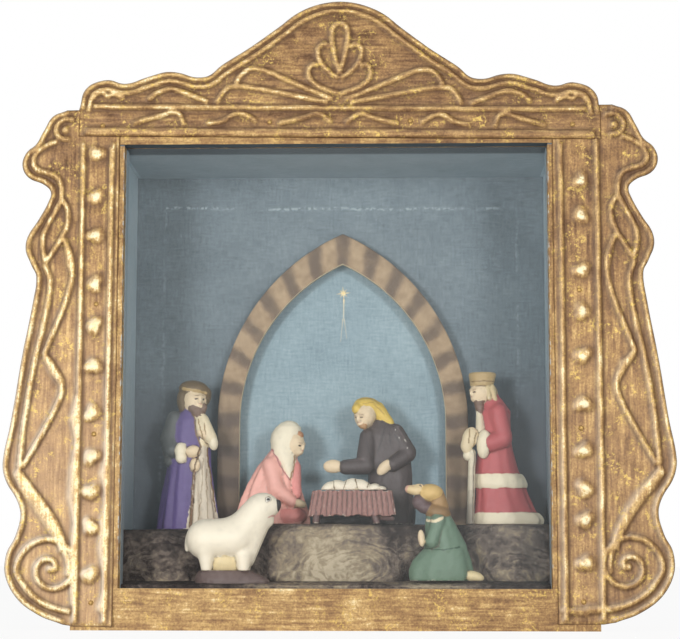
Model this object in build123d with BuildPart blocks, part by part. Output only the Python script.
"""A retablo box: a small glazed wooden case, faced with embossed sheet metal,
with a painted scene of figures on a rock ledge under a pointed arch.

Millimetres, +Z up, the front faces -Y. The origin is the centre of the case's underside.
"""
import os
from math import asin, cos, hypot, pi, radians, sin

from build123d import *

os.makedirs("parts", exist_ok=True)

# Case boards
case_width = 280.0
inner_height = 239.5
inner_depth = 92.0
side_thickness = 20.0
bottom_thickness = 22.0
top_thickness = 20.0
back_thickness = 4.0
rabbet_depth = 5.0

# Nails and tacks
nail_radius = 1.1
nail_head_radius = 2.2
nail_head_thickness = 1.2
case_nail_length = 42.0
back_nail_length = 22.0
tack_head_radius = 1.4
tack_head_height = 1.0
tack_radius = 0.6
tack_length = 11.0
hole_clearance = 0.15
case_nail_shares = (0.2, 0.5, 0.8)
back_side_nail_shares = (0.08, 0.36, 0.64, 0.92)
back_end_nail_shares = (-0.6, 0.0, 0.6)

# Glass and the strips that hold it
glass_thickness = 2.0
glass_clearance = 0.3
kerf_depth = 3.0
bead_width = 5.0
bead_depth = 8.0

# Embossed facing
sheet_thickness = 1.0
sheet_set_back = 2.5
strip_show = 3.1
fit_clearance = 0.3
left_column = 20.0
right_column = 23.7
wing_reach = 40.2
wing_foot_gap = 2.0
right_wing_lift = 1.6
pediment_height = 76.3
pediment_overhang = 2.65
pediment_tilt = 0.6
pediment_left_tack_inset = 1.9
pediment_right_tack_inset = 3.6
pediment_left_tack_height = 7.2
pediment_right_tack_height = 6.7
ridge_height = 1.2
ridge_width = 2.4
band_width = 4.2
rim_width = 2.2
rim_inset = 1.5
straight_enough = 0.002
inner_ridge_inset = 5.4
boss_radius = 3.4
boss_height = 1.9

# Scene
foreground_share = 0.42
manger_row_share = 0.217
row_gap = 0.6
ledge_height = 35.0
left_shelf_drop = 3.0
left_shelf_width = 57.0
lump_reach = 4.0
lump_radius = 12.0
lump_height = 14.7
lump_spans = ((-0.86, -0.62), (-0.3, 0.3), (0.62, 0.84))
ground_height = 1.8
mound_rise = 2.2
mound_run = 6.6
mound_start = 24.0
arch_thickness = 3.5
arch_stand_off = 8.5
arch_half_width = 72.3
arch_leg_width = 13.0
arch_spring_height = 93.0
arch_outer_rise = 110.7
arch_inner_rise = 92.7
arch_shift = 2.0
standing_height = 86.0
manger_length = 49.6
manger_depth = 14.0
manger_middle = 8.4
manger_foot_room = 4.8
manger_height = 18.6
manger_side_lean = 1.6
slat_count = 13
slat_share = 0.6
slat_proud = 0.6
leg_half = 1.6
leg_housing = 1.0
sheep_base_height = 7.5
sheep_base_taper = 8.0

# Places that follow from the sizes above
case_height = bottom_thickness + inner_height + top_thickness
case_depth = inner_depth + back_thickness
case_half = case_width / 2
inner_half = case_half - side_thickness
front = -case_depth / 2
back = case_depth / 2
panel_face = back - back_thickness
floor_z = bottom_thickness
ceiling_z = floor_z + inner_height
channel_front = front + bead_depth
channel_back = channel_front + glass_thickness + 2 * glass_clearance
sheet_face = front - sheet_thickness
pediment_face = sheet_face - sheet_thickness
opening_half = inner_half - bead_width + sheet_set_back
pediment_base = ceiling_z + strip_show
pediment_shift = (right_column - left_column) / 2
pediment_half = opening_half + (left_column + right_column) / 2 + pediment_overhang
scene_front = channel_back + fit_clearance
arch_back = panel_face - arch_stand_off
arch_front = arch_back - arch_thickness
scene_depth = arch_front - scene_front
ledge_front = scene_front + scene_depth * foreground_share
manger_row_end = ledge_front + scene_depth * manger_row_share
ledge_top = floor_z + ledge_height
left_shelf_top = ledge_top - left_shelf_drop
ground_top = floor_z + ground_height
mound_top = ground_top + mound_rise

# The ornament is drawn on sheets of these sizes and stretched to the facing
drawn_wing_reach = 40.2
drawn_wing_edge = 264.6
drawn_pediment_half = 142.0
drawn_pediment_height = 76.3
wing_out = wing_reach / drawn_wing_reach
wing_up = pediment_base / drawn_wing_edge
pediment_out = pediment_half / drawn_pediment_half
pediment_up = pediment_height / drawn_pediment_height

# The figures are drawn at these sizes: the case's width spreads them, and their height sets their size
drawn_inner_half = 120.0
drawn_standing_height = 86.0
across = inner_half / drawn_inner_half
upright = standing_height / drawn_standing_height

# Wing outline, out from the column's rib and up from the floor, from the top line to the foot
wing_outline = [
    (9.0, 280.8), (17.0, 277.3), (21.8, 269.4), (25.5, 262.4), (31.2, 257.0), (33.2, 250.2),
    (30.0, 243.8), (20.6, 239.2), (17.2, 235.0), (19.0, 228.8), (24.0, 219.6), (29.4, 210.8),
    (30.3, 203.6), (27.2, 195.6), (24.2, 188.6), (26.0, 173.4), (31.3, 143.6), (36.0, 112.0),
    (40.0, 88.6), (38.4, 79.4), (31.6, 67.6), (29.9, 60.0), (32.4, 49.6), (37.2, 39.4),
    (37.2, 28.0), (30.6, 16.2), (19.0, 7.8), (6.3, 3.0),
]
wing_top_line = 280.8
rib_top = 260.0
rib_foot = 4.0
inner_rib_inset = 4.2

# Raised lines of the wing, in the same drawing
wing_curl = [(5.0, 275.2), (10.0, 275.7), (14.2, 272.6), (14.8, 268.4), (12.2, 265.2), (7.5, 264.2)]
wing_curl_eye = (9.9, 269.6)
wing_crest = [
    (13.8, 263.6), (20.0, 261.0), (25.4, 257.0), (27.2, 252.0), (24.8, 247.8), (18.7, 245.8),
    (13.6, 243.2), (11.6, 238.0), (11.3, 231.0),
]
wing_leaf_outer = [(11.3, 231.0), (14.5, 224.6), (18.3, 217.8), (20.8, 211.2), (21.0, 204.6), (19.3, 196.6)]
wing_leaf_inner = [
    (11.3, 231.0), (8.6, 227.4), (7.4, 222.6), (8.0, 216.8), (10.6, 210.4), (14.2, 204.4), (19.3, 196.6),
]
wing_branch = [
    (10.4, 210.6), (6.4, 202.3), (4.6, 193.8), (5.5, 184.2), (8.5, 173.3), (12.7, 162.5), (19.0, 146.6),
]
wing_edge_line = [
    (19.6, 195.6), (16.6, 186.0), (17.3, 176.0), (20.2, 160.0), (24.1, 142.4), (28.8, 111.2), (31.0, 86.0),
]
wing_knee = [
    (19.2, 147.0), (14.5, 141.0), (10.0, 133.6), (8.9, 127.5), (10.6, 121.0), (18.0, 106.0), (29.4, 86.0),
]
wing_diagonal = [(31.4, 82.6), (23.7, 72.8), (13.8, 59.6), (8.5, 49.0), (6.4, 41.6)]
scroll_tail = [(2.4, 9.9), (9.6, 11.4), (18.8, 15.4), (26.6, 22.4)]
scroll_centre = (13.4, 32.2)
scroll_first_radius = 18.0
scroll_radius_step = 2.6
scroll_quarters = 7
scroll_eye_radius = 1.5
curl_eye_radius = 1.8

# Bosses and tacks down each column: heights in the drawing, and place across it as a share
left_boss_heights = [256.3, 232.4, 211.0, 184.7, 161.9, 140.2, 115.0, 91.4, 72.8, 54.3, 29.0]
right_boss_heights = [239.1, 219.9, 190.0, 167.8, 144.1, 117.9, 93.5, 72.9, 56.6, 34.1]
left_tack_heights = [173.8, 103.7, 14.4]
right_tack_heights = [179.2, 105.2, 13.8]
boss_share = 0.37
tack_share = 0.43

# Pediment outline, right half, out from its middle and up from its lower edge
pediment_outline = [
    (142.0, 15.0), (138.4, 26.6), (128.0, 31.4), (116.4, 29.6), (104.0, 33.6), (92.6, 36.2),
    (74.0, 33.4), (62.6, 41.3), (50.0, 49.4), (36.8, 59.1), (20.0, 71.3), (0.0, 76.3),
]

# Raised lines of the pediment, right half; the left half mirrors them
pediment_bar_height = 16.4
pediment_bar_half = 134.0
pediment_border_height = 2.4
pediment_border_half = 138.6
end_leaf = [(134.6, 20.8), (132.4, 23.8), (129.4, 24.6), (126.4, 22.4), (123.4, 23.6), (117.4, 21.2)]
end_arch = [(104.2, 20.4), (99.6, 24.2), (92.6, 26.5), (86.4, 25.2), (79.6, 22.6), (71.6, 19.4)]
upper_petal = [
    (56.4, 29.8), (53.4, 34.8), (48.6, 37.9), (42.0, 37.4), (30.0, 32.4), (16.4, 26.6), (3.6, 21.4),
]
lower_petal = [(66.8, 19.0), (62.8, 25.6), (58.6, 28.2), (46.0, 27.2), (24.0, 23.0), (6.0, 19.6)]
waves = [
    [(112.2, 7.4), (98.6, 11.2), (88.6, 13.6), (84.2, 6.4)],
    [(71.8, 7.4), (63.8, 8.8), (54.6, 13.2), (44.6, 8.8)],
    [(32.6, 7.8), (19.6, 10.8), (11.4, 13.2), (4.0, 8.6)],
]
palm_centre = [(0.0, 35.6), (2.8, 46.0), (4.5, 57.0), (3.0, 62.6), (0.0, 63.8)]
palm_middle = [(0.6, 33.0), (5.4, 36.4), (9.4, 40.6), (11.8, 45.4), (11.6, 49.8), (8.6, 52.0), (5.6, 50.6)]
palm_outer = [(0.4, 24.4), (6.8, 26.4), (12.6, 29.2), (16.2, 33.0), (16.8, 38.0), (14.6, 40.6), (11.4, 40.2)]
pediment_middle_tacks = [(-37.6, 8.4), (38.8, 9.4)]


# Shared tools

def block(low, high, mode=Mode.ADD):
    """A box between its lowest and highest corners."""
    size = [b - a for a, b in zip(low, high)]
    with Locations(low):
        Box(*size, align=(Align.MIN, Align.MIN, Align.MIN), mode=mode)


def drill_back(x, z, start, end, radius):
    """A round hole along Y between two depths."""
    with Locations(Location((x, (start + end) / 2, z), (90, 0, 0))):
        Cylinder(radius, abs(end - start), mode=Mode.SUBTRACT)


def drill_across(y, z, start, end, radius):
    """A round hole along X between two places."""
    with Locations(Location(((start + end) / 2, y, z), (0, 90, 0))):
        Cylinder(radius, abs(end - start), mode=Mode.SUBTRACT)


def front_plane(y):
    """A plane that faces the viewer: its own x and y are the object's X and Z."""
    return Plane(origin=(0, y, 0), x_dir=(1, 0, 0), z_dir=(0, -1, 0))


def normals(points):
    """The unit normal to the left of the way, at each point."""
    last = len(points) - 1
    result = []
    for i in range(len(points)):
        behind = points[max(i - 1, 0)]
        ahead = points[min(i + 1, last)]
        run_x = ahead[0] - behind[0]
        run_y = ahead[1] - behind[1]
        length = hypot(run_x, run_y)
        result.append((-run_y / length, run_x / length))
    return result


def moved_left(points, distance):
    """The same line, moved to the left of its way."""
    return [(x + nx * distance, y + ny * distance) for (x, y), (nx, ny) in zip(points, normals(points))]


def arc_along(start, end, heading):
    """An arc that leaves its start along a heading, or a line where it would hardly bend."""
    run_x = end[0] - start[0]
    run_y = end[1] - start[1]
    bend = (heading[0] * run_y - heading[1] * run_x) / hypot(run_x, run_y)
    if abs(bend) > straight_enough:
        return TangentArc(start, end, tangent=heading)
    return Line(start, end)


def smooth_line(points):
    """A smooth line through points: two arcs for each span, all tangent to each other."""
    arcs = []
    headings = [(ny, -nx) for nx, ny in normals(points)]
    for i in range(len(points) - 1):
        (ax, ay), (bx, by) = points[i], points[i + 1]
        (px, py), (qx, qy) = headings[i], headings[i + 1]
        run = (bx - ax) ** 2 + (by - ay) ** 2
        turn = 2 - 2 * (px * qx + py * qy)
        pull = 2 * ((bx - ax) * (px + qx) + (by - ay) * (py + qy))
        if turn > straight_enough:
            reach = ((pull**2 + 4 * turn * run) ** 0.5 - pull) / (2 * turn)
        else:
            reach = run / pull
        first = (ax + px * reach, ay + py * reach)
        second = (bx - qx * reach, by - qy * reach)
        joint = ((first[0] + second[0]) / 2, (first[1] + second[1]) / 2)
        span = hypot(second[0] - first[0], second[1] - first[1])
        middle_heading = ((second[0] - first[0]) / span, (second[1] - first[1]) / span)
        arcs.append(arc_along(points[i], joint, headings[i]))
        arcs.append(arc_along(joint, points[i + 1], middle_heading))
    return arcs


def stroke(points, width):
    """A flat band of one width along a line of points."""
    left = moved_left(points, width / 2)
    right = moved_left(points, -width / 2)
    sides = smooth_line(left) + smooth_line(right[::-1])
    with BuildSketch() as band:
        with BuildLine():
            add(sides)
            Line(left[-1], right[-1])
            Line(right[0], left[0])
        make_face()
    return band.sketch


def dome(radius, height):
    """A cap of a ball that stands on the XY plane."""
    ball_radius = (radius**2 + height**2) / (2 * height)
    half_angle = asin(radius / ball_radius) / 2
    middle = (ball_radius * sin(half_angle), height - ball_radius * (1 - cos(half_angle)))
    with BuildPart() as boss:
        with BuildSketch(Plane.XZ):
            with BuildLine():
                Line((0, 0), (radius, 0))
                ThreePointArc((radius, 0), middle, (0, height))
                Line((0, height), (0, 0))
            make_face()
        revolve(axis=Axis.Z)
    return boss.part


def facing(x, y, z):
    """The place on a front surface, looking at the viewer."""
    return Location(Plane(origin=(x, y, z), x_dir=(1, 0, 0), z_dir=(0, -1, 0)))


def round_pin(head, radius, length):
    """A fastener that points down from the XY plane, with its head above it."""
    with BuildPart() as pin:
        add(head)
        with Locations((0, 0, -length / 2)):
            Cylinder(radius, length)
    return pin.part


def publish(part, name):
    """Labels a finished piece and writes it."""
    part.label = name
    export_step(part, f"parts/{name}.step")


# Places of the fasteners

def on_pediment(x, z):
    """Turns a place in the pediment's drawing into the object's X and Z."""
    tilt = radians(pediment_tilt)
    out = x * pediment_out
    up = z * pediment_up
    return (
        pediment_shift + out * cos(tilt) + up * sin(tilt),
        pediment_base - out * sin(tilt) + up * cos(tilt),
    )


def column_places(sign, column, lift, heights, share):
    """X and Z of a row of bosses or tacks down a column."""
    x = sign * (opening_half + column * (1 - share))
    return [(x, height * wing_up + lift) for height in heights]


wing_tacks = {
    -1: column_places(-1, left_column, 0, left_tack_heights, tack_share),
    1: column_places(1, right_column, right_wing_lift, right_tack_heights, tack_share),
}
wing_bosses = {
    -1: column_places(-1, left_column, 0, left_boss_heights, boss_share),
    1: column_places(1, right_column, right_wing_lift, right_boss_heights, boss_share),
}
end_board_half = inner_half + rabbet_depth
side_pediment_tack = {
    -1: (-end_board_half - pediment_left_tack_inset, pediment_base + pediment_left_tack_height),
    1: (end_board_half + pediment_right_tack_inset, pediment_base + pediment_right_tack_height),
}
middle_pediment_tacks = [on_pediment(x, z) for x, z in pediment_middle_tacks]
pediment_tacks = [side_pediment_tack[-1]] + middle_pediment_tacks + [side_pediment_tack[1]]
top_nail_z = ceiling_z + top_thickness / 2
bottom_nail_z = bottom_thickness / 2
case_nail_depths = [front + inner_depth * share for share in case_nail_shares]
case_nail_places = [(y, z) for y in case_nail_depths for z in (bottom_nail_z, top_nail_z)]
side_nail_x = case_half - side_thickness / 2
side_nail_heights = [floor_z + inner_height * share for share in back_side_nail_shares]
end_nail_xs = [inner_half * share for share in back_end_nail_shares]
tack_hole = tack_radius + hole_clearance
nail_hole = nail_radius + hole_clearance
nail_head_hole = nail_head_radius + hole_clearance


# Case boards

def side_board(sign):
    """A side board: rabbeted inside at its ends, drilled for nails and tacks."""
    outer = sign * case_half
    inner = sign * inner_half
    shoulder = sign * (inner_half + rabbet_depth)
    with BuildPart() as board:
        block((min(inner, outer), front, 0), (max(inner, outer), panel_face, case_height))
        rabbet = (min(inner, shoulder), max(inner, shoulder))
        block((rabbet[0], front, 0), (rabbet[1], panel_face, bottom_thickness), Mode.SUBTRACT)
        block((rabbet[0], front, ceiling_z), (rabbet[1], panel_face, case_height), Mode.SUBTRACT)
        for y, z in case_nail_places:
            drill_across(y, z, inner, outer, nail_hole)
            drill_across(y, z, outer - sign * nail_head_thickness, outer, nail_head_hole)
        for z in side_nail_heights:
            drill_back(sign * side_nail_x, z, panel_face, back - back_nail_length, nail_hole)
        for x, z in wing_tacks[sign]:
            drill_back(x, z, front, sheet_face + tack_length, tack_hole)
        x, z = side_pediment_tack[sign]
        drill_back(x, z, front, pediment_face + tack_length, tack_hole)
    return board.part


def end_board(low_z, high_z, kerf_low, kerf_high):
    """A top or bottom board, housed in the sides, with a saw kerf for the glass."""
    half = end_board_half
    nail_z = (low_z + high_z) / 2
    with BuildPart() as board:
        block((-half, front, low_z), (half, panel_face, high_z))
        block((-half, channel_front, kerf_low), (half, channel_back, kerf_high), Mode.SUBTRACT)
        for y in case_nail_depths:
            for sign in (-1, 1):
                drill_across(y, nail_z, sign * half, sign * (case_half - case_nail_length), nail_hole)
        for x in end_nail_xs:
            drill_back(x, nail_z, panel_face, back - back_nail_length, nail_hole)
    return board.part


publish(side_board(-1), "case_left_side")
publish(side_board(1), "case_right_side")
publish(end_board(0, floor_z, floor_z - kerf_depth, floor_z), "case_bottom_board")

with BuildPart() as case_top_board:
    add(end_board(ceiling_z, case_height, ceiling_z, ceiling_z + kerf_depth))
    # The front edge stands proud between the wings, so that the pediment lies flat
    proud_half = opening_half - fit_clearance
    block((-proud_half, sheet_face, ceiling_z), (proud_half, front, case_height))
    for x, z in middle_pediment_tacks:
        drill_back(x, z, sheet_face, pediment_face + tack_length, tack_hole)
publish(case_top_board.part, "case_top_board")

with BuildPart() as back_panel:
    block((-case_half, panel_face, 0), (case_half, back, case_height))
    back_nail_places = [(sign * side_nail_x, z) for sign in (-1, 1) for z in side_nail_heights]
    back_nail_places += [(x, z) for x in end_nail_xs for z in (bottom_nail_z, top_nail_z)]
    for x, z in back_nail_places:
        drill_back(x, z, panel_face, back, nail_hole)
        drill_back(x, z, back - nail_head_thickness, back, nail_head_hole)
publish(back_panel.part, "back_panel")


# Nails: the heads lie flush

with BuildPart() as nail_head:
    with Locations((0, 0, -nail_head_thickness / 2)):
        Cylinder(nail_head_radius, nail_head_thickness)
case_nail = round_pin(nail_head.part, nail_radius, case_nail_length)
back_nail = round_pin(nail_head.part, nail_radius, back_nail_length)

with BuildPart() as case_nails:
    for sign in (-1, 1):
        for y, z in case_nail_places:
            side = Plane(origin=(sign * case_half, y, z), x_dir=(0, 1, 0), z_dir=(sign, 0, 0))
            add(case_nail.moved(Location(side)))
publish(case_nails.part, "case_nails")

with BuildPart() as back_panel_nails:
    for x, z in back_nail_places:
        rear = Plane(origin=(x, back, z), x_dir=(1, 0, 0), z_dir=(0, 1, 0))
        add(back_nail.moved(Location(rear)))
publish(back_panel_nails.part, "back_panel_nails")


# Glass and beads

with BuildPart() as glass_pane:
    glass_half = inner_half - glass_clearance
    glass_front = channel_front + glass_clearance
    block(
        (-glass_half, glass_front, floor_z - kerf_depth),
        (glass_half, glass_front + glass_thickness, ceiling_z + kerf_depth - glass_clearance),
    )
publish(glass_pane.part, "glass_pane")


def bead(sign, start):
    """An upright strip on a side wall."""
    wall = sign * inner_half
    edge = sign * (inner_half - bead_width)
    with BuildPart() as strip:
        block((min(wall, edge), start, floor_z), (max(wall, edge), start + bead_depth, ceiling_z))
    return strip.part


for sign, side_name in ((-1, "left"), (1, "right")):
    publish(bead(sign, front), f"{side_name}_front_bead")
    publish(bead(sign, channel_back), f"{side_name}_rear_bead")


# Embossed wings

def scroll_line():
    """The spiral at the foot of a wing, from its tail in to its eye."""
    turns = []
    for step in range(2 * scroll_quarters):
        quarter = step / 2
        radius = scroll_first_radius - scroll_radius_step * quarter
        angle = quarter * pi / 2
        turns.append((scroll_centre[0] + radius * cos(angle), scroll_centre[1] + radius * sin(angle)))
    return scroll_tail + turns


def wing(sign, column, lift):
    """A wing sheet: a bossed column beside the glass and a scrolled outline beyond it."""
    rib_x = opening_half + column

    def lay(points):
        return [(sign * (rib_x + u * wing_out), z * wing_up + lift) for u, z in points]

    outline = lay(wing_outline)
    foot = wing_foot_gap + lift
    top = wing_top_line * wing_up + lift
    rib_low = rib_foot * wing_up + lift
    rib_high = rib_top * wing_up + lift
    inner_edge = sign * opening_half
    inner_rib = sign * (opening_half + inner_rib_inset)
    rim = moved_left(outline, -sign * rim_inset)
    lines = [wing_curl, wing_crest, wing_leaf_outer, wing_leaf_inner, wing_branch, wing_edge_line]
    lines += [wing_knee, scroll_line()]
    bands = [stroke(lay(line), ridge_width) for line in lines]
    bands.append(stroke(lay(wing_diagonal), band_width))
    bands.append(stroke(rim, rim_width))
    for x in (sign * rib_x, inner_rib):
        bands.append(stroke([(x, rib_low), (x, rib_high)], ridge_width))
    boss = dome(boss_radius, boss_height)
    scrolled_edge = smooth_line(outline)
    with BuildPart() as sheet:
        with BuildSketch(front_plane(front)):
            with BuildLine():
                add(scrolled_edge)
                Polyline(outline[-1], (sign * rib_x, foot), (inner_edge, foot), (inner_edge, top), outline[0])
            make_face()
        extrude(amount=sheet_thickness)
        for x, z in wing_tacks[sign] + [side_pediment_tack[sign]]:
            drill_back(x, z, front, sheet_face, tack_hole)
        with BuildSketch(front_plane(sheet_face)):
            add(bands)
            with Locations(lay([wing_curl_eye])[0]):
                Circle(curl_eye_radius)
            with Locations(lay([scroll_centre])[0]):
                Circle(scroll_eye_radius)
        extrude(amount=ridge_height)
        add([boss.moved(facing(x, sheet_face, z)) for x, z in wing_bosses[sign]])
    return sheet.part


publish(wing(-1, left_column, 0), "left_wing")
publish(wing(1, right_column, right_wing_lift), "right_wing")


# Pediment

def mirrored(points):
    """The same line on the other half."""
    return [(-x, z) for x, z in points]


def stretched(points):
    """A line of the pediment's drawing at its real size."""
    return [(x * pediment_out, z * pediment_up) for x, z in points]


tilt = radians(pediment_tilt)
pediment_plane = Plane(
    origin=(pediment_shift, sheet_face, pediment_base),
    x_dir=(cos(tilt), 0, -sin(tilt)),
    z_dir=(0, -1, 0),
)
crown = stretched(pediment_outline + mirrored(pediment_outline[-2::-1]))
half_lines = [end_leaf, end_arch, upper_petal, lower_petal, palm_centre, palm_middle, palm_outer] + waves
bar = [(-pediment_bar_half, pediment_bar_height), (pediment_bar_half, pediment_bar_height)]
border = [(-pediment_border_half, pediment_border_height), (pediment_border_half, pediment_border_height)]
bands = [stroke(stretched(line), ridge_width) for line in half_lines]
bands += [stroke(stretched(mirrored(line)), ridge_width) for line in half_lines]
bands.append(stroke(stretched(bar), ridge_width))
bands.append(stroke(stretched(border), band_width))
bands.append(stroke(moved_left(crown, rim_inset), rim_width))
bands.append(stroke(moved_left(crown, inner_ridge_inset), ridge_width))

crown_edge = smooth_line(crown)
with BuildPart() as pediment:
    with BuildSketch(pediment_plane):
        with BuildLine():
            add(crown_edge)
            Polyline(crown[-1], (crown[-1][0], 0), (crown[0][0], 0), crown[0])
        make_face()
    extrude(amount=sheet_thickness)
    for x, z in pediment_tacks:
        drill_back(x, z, pediment_face, sheet_face, tack_hole)
    with BuildSketch(pediment_plane.offset(sheet_thickness)):
        add(bands)
    extrude(amount=ridge_height)
publish(pediment.part, "pediment")


# Tacks

tack = round_pin(dome(tack_head_radius, tack_head_height), tack_radius, tack_length)
tack_rows = {
    "left_wing_tacks": (wing_tacks[-1], sheet_face),
    "right_wing_tacks": (wing_tacks[1], sheet_face),
    "pediment_tacks": (pediment_tacks, pediment_face),
}
for row_name, (places, face) in tack_rows.items():
    with BuildPart() as tack_row:
        for x, z in places:
            add(tack.moved(facing(x, face, z)))
    publish(tack_row.part, row_name)


# Arch, ledge and ground

def pointed_half(half_width, rise):
    """Centre distance and radius of one side of a pointed arch with upright feet."""
    radius = (half_width**2 + rise**2) / (2 * half_width)
    return half_width - radius, radius


def arch_side(half_width, rise, spring, sign):
    """Foot, a middle place and apex of one side of the arch."""
    centre, radius = pointed_half(half_width, rise)
    middle_z = rise / 2
    middle_x = centre + (radius**2 - middle_z**2) ** 0.5
    return (sign * half_width, spring), (sign * middle_x, spring + middle_z), (0, spring + rise)


with BuildPart() as gothic_arch:
    spring = floor_z + arch_spring_height
    inner_width = arch_half_width - arch_leg_width
    arch_plane = Plane(origin=(arch_shift, arch_back, 0), x_dir=(1, 0, 0), z_dir=(0, -1, 0))
    with BuildSketch(arch_plane):
        with BuildLine():
            ThreePointArc(*arch_side(arch_half_width, arch_outer_rise, spring, 1))
            ThreePointArc(*arch_side(arch_half_width, arch_outer_rise, spring, -1)[::-1])
            Polyline(
                (-arch_half_width, spring), (-arch_half_width, floor_z), (-inner_width, floor_z),
                (-inner_width, spring),
            )
            ThreePointArc(*arch_side(inner_width, arch_inner_rise, spring, -1))
            ThreePointArc(*arch_side(inner_width, arch_inner_rise, spring, 1)[::-1])
            Polyline(
                (inner_width, spring), (inner_width, floor_z), (arch_half_width, floor_z),
                (arch_half_width, spring),
            )
        make_face()
    extrude(amount=arch_thickness)
publish(gothic_arch.part, "gothic_arch")

with BuildPart() as rock_ledge:
    side_gap = inner_half - fit_clearance
    step_x = left_shelf_width - inner_half
    lump_y = ledge_front + lump_radius
    lump_z = floor_z + lump_height
    block((-side_gap, ledge_front + lump_reach, floor_z), (step_x, arch_front, left_shelf_top))
    block((step_x, ledge_front + lump_reach, floor_z), (side_gap, arch_front, ledge_top))
    for start_share, end_share in lump_spans:
        start_x = inner_half * start_share
        end_x = inner_half * end_share
        with Locations(Location(((start_x + end_x) / 2, lump_y, lump_z), (0, 90, 0))):
            Cylinder(lump_radius, end_x - start_x)
        with Locations((start_x, lump_y, lump_z), (end_x, lump_y, lump_z)):
            Sphere(lump_radius)
publish(rock_ledge.part, "rock_ledge")

with BuildPart() as rock_foreground:
    with BuildSketch(front_plane(ledge_front)):
        with BuildLine():
            Polyline(
                (-side_gap, floor_z), (-side_gap, ground_top), (mound_start, ground_top),
                (mound_start + mound_run, mound_top), (side_gap, mound_top), (side_gap, floor_z),
                close=True,
            )
        make_face()
    extrude(amount=ledge_front - scene_front)
    # Room for the strips behind the glass
    strip_half = inner_half - bead_width - fit_clearance
    strip_end = channel_back + bead_depth + fit_clearance
    block((-inner_half, channel_back, floor_z), (-strip_half, strip_end, mound_top), Mode.SUBTRACT)
    block((strip_half, channel_back, floor_z), (inner_half, strip_end, mound_top), Mode.SUBTRACT)
publish(rock_foreground.part, "rock_foreground")


# Figures: each stands in the middle of a row of the scene

back_row = (manger_row_end + row_gap + arch_front) / 2
manger_row = (ledge_front + manger_row_end) / 2
front_row = (scene_front + ledge_front) / 2


def placed(seat):
    """A function that turns a figure's drawn places into real ones: its height sets its size."""
    middle, base, centre = seat

    def spot(x, y, z):
        return centre * across + (x - centre) * upright, middle + y * upright, base + z * upright

    return spot


def robe(seat, sections):
    """A body through ellipses: x, y and z of each middle, then half its width and depth."""
    spot = placed(seat)
    with BuildPart() as body:
        for x, y, z, half_width, half_depth in sections:
            middle = spot(x, y, z)
            with BuildSketch(Plane.XY.offset(middle[2])):
                with Locations(middle[:2]):
                    Ellipse(half_width * upright, half_depth * upright)
        loft(ruled=True)
    return body.part


def limb(seat, start, end, start_radius, end_radius):
    """A tapered round limb between two drawn places."""
    spot = placed(seat)
    low = Vector(*spot(*start))
    high = Vector(*spot(*end))
    low_radius = start_radius * upright
    high_radius = end_radius * upright
    with BuildPart() as piece:
        with Locations(Plane(origin=low, z_dir=high - low)):
            Cone(low_radius, high_radius, (high - low).length, align=(Align.CENTER, Align.CENTER, Align.MIN))
        with Locations(low):
            Sphere(low_radius)
        with Locations(high):
            Sphere(high_radius)
    return piece.part


def ball(seat, middle, radius):
    """A round form at a drawn place."""
    with BuildPart() as piece:
        with Locations(placed(seat)(*middle)):
            Sphere(radius * upright)
    return piece.part


def cut_below(base):
    """Leaves a figure a flat seat."""
    split(bisect_by=Plane.XY.offset(base), keep=Keep.TOP)


seat = (back_row, left_shelf_top, -86.0)
purple_robe = robe(seat, [
    (-86.0, 0.0, 0.0, 17.6, 10.2), (-86.4, 0.0, 30.0, 15.4, 10.0), (-85.8, 0.0, 47.0, 14.2, 9.8),
    (-85.0, 0.0, 60.0, 12.4, 8.8), (-83.0, 0.0, 67.0, 7.4, 6.2), (-82.0, 0.0, 71.0, 4.6, 4.6),
])
forms = [
    purple_robe,
    ball(seat, (-81.4, -1.0, 76.6), 8.2),
    limb(seat, (-96.0, -1.0, 58.0), (-97.0, -3.0, 46.0), 4.6, 4.4),
    limb(seat, (-96.0, -3.0, 45.0), (-83.0, -7.6, 43.6), 4.2, 3.4),
    limb(seat, (-76.0, -2.0, 60.0), (-72.4, -5.0, 48.0), 4.0, 3.2),
]
with BuildPart() as purple_standing_figure:
    add(forms)
publish(purple_standing_figure.part, "purple_standing_figure")

seat = (back_row, ledge_top, -37.2)
pink_robe = robe(seat, [
    (-37.2, 0.0, 0.0, 19.4, 10.2), (-37.0, 0.0, 8.0, 19.0, 10.2), (-37.6, 0.0, 18.0, 15.6, 10.0),
    (-35.4, 0.0, 30.0, 12.0, 8.8), (-33.0, 0.0, 39.0, 8.4, 6.8), (-30.4, 0.0, 44.0, 5.0, 5.0),
])
forms = [
    pink_robe,
    ball(seat, (-28.6, -1.0, 49.8), 8.8),
    limb(seat, (-36.0, -5.0, 34.0), (-34.0, -7.4, 19.0), 4.6, 4.2),
    limb(seat, (-34.0, -7.4, 19.0), (-23.0, -7.8, 13.6), 3.8, 3.0),
]
with BuildPart() as pink_kneeling_figure:
    add(forms)
publish(pink_kneeling_figure.part, "pink_kneeling_figure")

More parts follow.
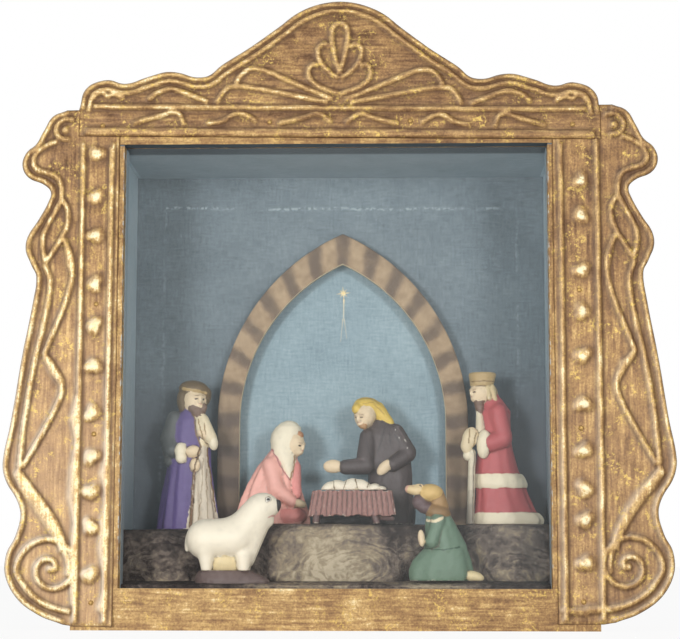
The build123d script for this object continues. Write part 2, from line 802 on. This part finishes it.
seat = (back_row, ledge_top, 20.0)
dark_robe = robe(seat, [
    (28.0, 1.0, 0.0, 16.0, 9.2), (28.4, 1.0, 18.0, 15.2, 9.0), (29.0, 1.0, 34.0, 14.4, 8.8),
    (27.0, 1.0, 48.0, 13.0, 8.2), (23.0, 0.0, 58.0, 8.0, 6.0), (19.0, -1.0, 62.0, 4.6, 4.6),
])
forms = [
    dark_robe,
    ball(seat, (15.6, -2.0, 64.4), 7.8),
    limb(seat, (18.0, -4.0, 50.0), (10.0, -9.0, 37.0), 5.0, 4.2),
    limb(seat, (10.0, -9.0, 36.6), (-1.0, -12.0, 33.4), 4.0, 3.2),
    limb(seat, (38.0, -2.0, 48.0), (39.0, -6.0, 37.0), 4.8, 4.2),
    limb(seat, (39.0, -6.0, 37.0), (27.0, -9.4, 32.6), 3.8, 3.0),
]
with BuildPart() as dark_robed_figure:
    add(forms)
publish(dark_robed_figure.part, "dark_robed_figure")

seat = (back_row, ledge_top, 93.0)
red_robe = robe(seat, [
    (96.0, 0.0, 0.0, 20.0, 10.2), (94.6, 0.0, 14.0, 17.6, 10.1), (91.4, 0.0, 34.0, 14.4, 9.8),
    (88.6, 0.0, 50.0, 11.6, 9.4), (87.2, 0.0, 64.0, 9.4, 7.8), (83.6, 0.0, 71.0, 5.4, 5.2),
])
crown_middle = (82.4, -1.0, 82.4)
crown_foot_radius = 6.9
crown_top_radius = 7.5
crown_height = 7.2
forms = [
    red_robe,
    ball(seat, (81.6, -1.0, 75.2), 7.4),
    limb(seat, (90.0, -6.0, 62.0), (91.0, -7.6, 49.0), 4.4, 4.2),
    limb(seat, (91.0, -7.6, 49.0), (74.0, -8.0, 46.6), 4.2, 3.8),
]
with BuildPart() as red_standing_figure:
    add(forms)
    with Locations(placed(seat)(*crown_middle)):
        Cone(crown_foot_radius * upright, crown_top_radius * upright, crown_height * upright)
publish(red_standing_figure.part, "red_standing_figure")

seat = (front_row, mound_top, 58.6)
green_robe = robe(seat, [
    (56.0, 0.0, 0.0, 17.6, 10.6), (56.4, 0.0, 8.0, 17.0, 10.4), (58.6, 0.0, 18.0, 13.0, 9.6),
    (58.4, 0.0, 27.0, 9.8, 8.6), (55.4, 0.0, 34.0, 7.4, 6.6), (52.6, 0.0, 40.0, 4.8, 4.8),
])
forms = [
    green_robe,
    ball(seat, (48.6, -1.0, 46.4), 7.2),
    limb(seat, (51.0, -6.0, 31.0), (47.0, -7.6, 20.0), 4.0, 3.2),
    limb(seat, (66.0, -2.0, 3.0), (76.6, -2.0, 2.4), 3.4, 2.4),
]
with BuildPart() as green_kneeling_figure:
    add(forms)
    cut_below(mound_top)
publish(green_kneeling_figure.part, "green_kneeling_figure")


# Manger and bundle

manger_low = ledge_top + manger_foot_room * upright
manger_high = ledge_top + manger_height * upright
manger_legs = ((-19.6, -20.6), (17.0, 23.0))

with BuildPart() as manger:
    half_length = manger_length * upright / 2
    half_depth = manger_depth * upright / 2
    manger_x = manger_middle * across
    wall_half = half_depth - slat_proud
    box_plane = Plane(origin=(manger_x, manger_row + wall_half, 0), x_dir=(1, 0, 0), z_dir=(0, -1, 0))
    with BuildSketch(box_plane):
        with BuildLine():
            Polyline(
                (-half_length + manger_side_lean, manger_low), (half_length - manger_side_lean, manger_low),
                (half_length, manger_high), (-half_length, manger_high), close=True,
            )
        make_face()
    extrude(amount=2 * wall_half)
    slats_start = manger_x - half_length + manger_side_lean
    slat_pitch = 2 * (half_length - manger_side_lean) / slat_count
    slat_width = slat_pitch * slat_share
    for i in range(slat_count):
        slat_x = slats_start + slat_pitch * (i + 0.5) - slat_width / 2
        slat_low = (slat_x, manger_row - half_depth, manger_low)
        block(slat_low, (slat_x + slat_width, manger_row + half_depth, manger_high))
    for head_x, foot_x in manger_legs:
        for leg_side in (-1, 1):
            leg_y = manger_row + leg_side * (wall_half - leg_half)
            with BuildSketch(Plane.XY.offset(ledge_top)):
                with Locations((manger_x + foot_x * upright, leg_y)):
                    Rectangle(2 * leg_half, 2 * leg_half)
            with BuildSketch(Plane.XY.offset(manger_low + leg_housing)):
                with Locations((manger_x + head_x * upright, leg_y)):
                    Rectangle(2 * leg_half, 2 * leg_half)
            loft()
publish(manger.part, "manger")

seat = (manger_row, manger_high, manger_middle)
forms = [
    limb(seat, (-3.6, 0.0, 1.6), (8.0, 0.0, 2.2), 4.2, 4.4),
    limb(seat, (8.0, 0.0, 2.2), (19.0, 0.0, 1.0), 4.4, 3.4),
    limb(seat, (19.0, 0.0, 1.0), (24.6, 0.0, 0.6), 2.4, 1.8),
]
with BuildPart() as swaddled_bundle:
    add(forms)
    cut_below(manger_high)
publish(swaddled_bundle.part, "swaddled_bundle")


# Sheep on its base

sheep_base_middle = -56.8
sheep_base_half_width = 20.8
sheep_base_half_depth = 10.4
sheep_seat = ground_top + sheep_base_height

with BuildPart() as sheep_base:
    with BuildSketch(Plane.XY.offset(ground_top)):
        with Locations((sheep_base_middle * across, front_row)):
            Ellipse(sheep_base_half_width * upright, sheep_base_half_depth * upright)
    extrude(amount=sheep_base_height, taper=sheep_base_taper)
publish(sheep_base.part, "sheep_base")

seat = (front_row, sheep_seat, sheep_base_middle)
forms = [
    limb(seat, (-70.4, 0.0, 16.8), (-57.0, 0.0, 15.6), 11.4, 11.2),
    limb(seat, (-57.0, 0.0, 16.0), (-46.6, 0.0, 32.0), 10.4, 7.2),
    limb(seat, (-45.0, 0.0, 35.4), (-34.4, 0.0, 34.8), 6.4, 3.8),
    limb(seat, (-65.4, 0.0, 10.0), (-64.0, 0.0, 3.0), 8.4, 7.6),
    limb(seat, (-57.0, 0.0, 10.0), (-55.0, 0.0, 3.0), 8.4, 7.4),
]
with BuildPart() as sheep:
    add(forms)
    cut_below(sheep_seat)
publish(sheep.part, "sheep")
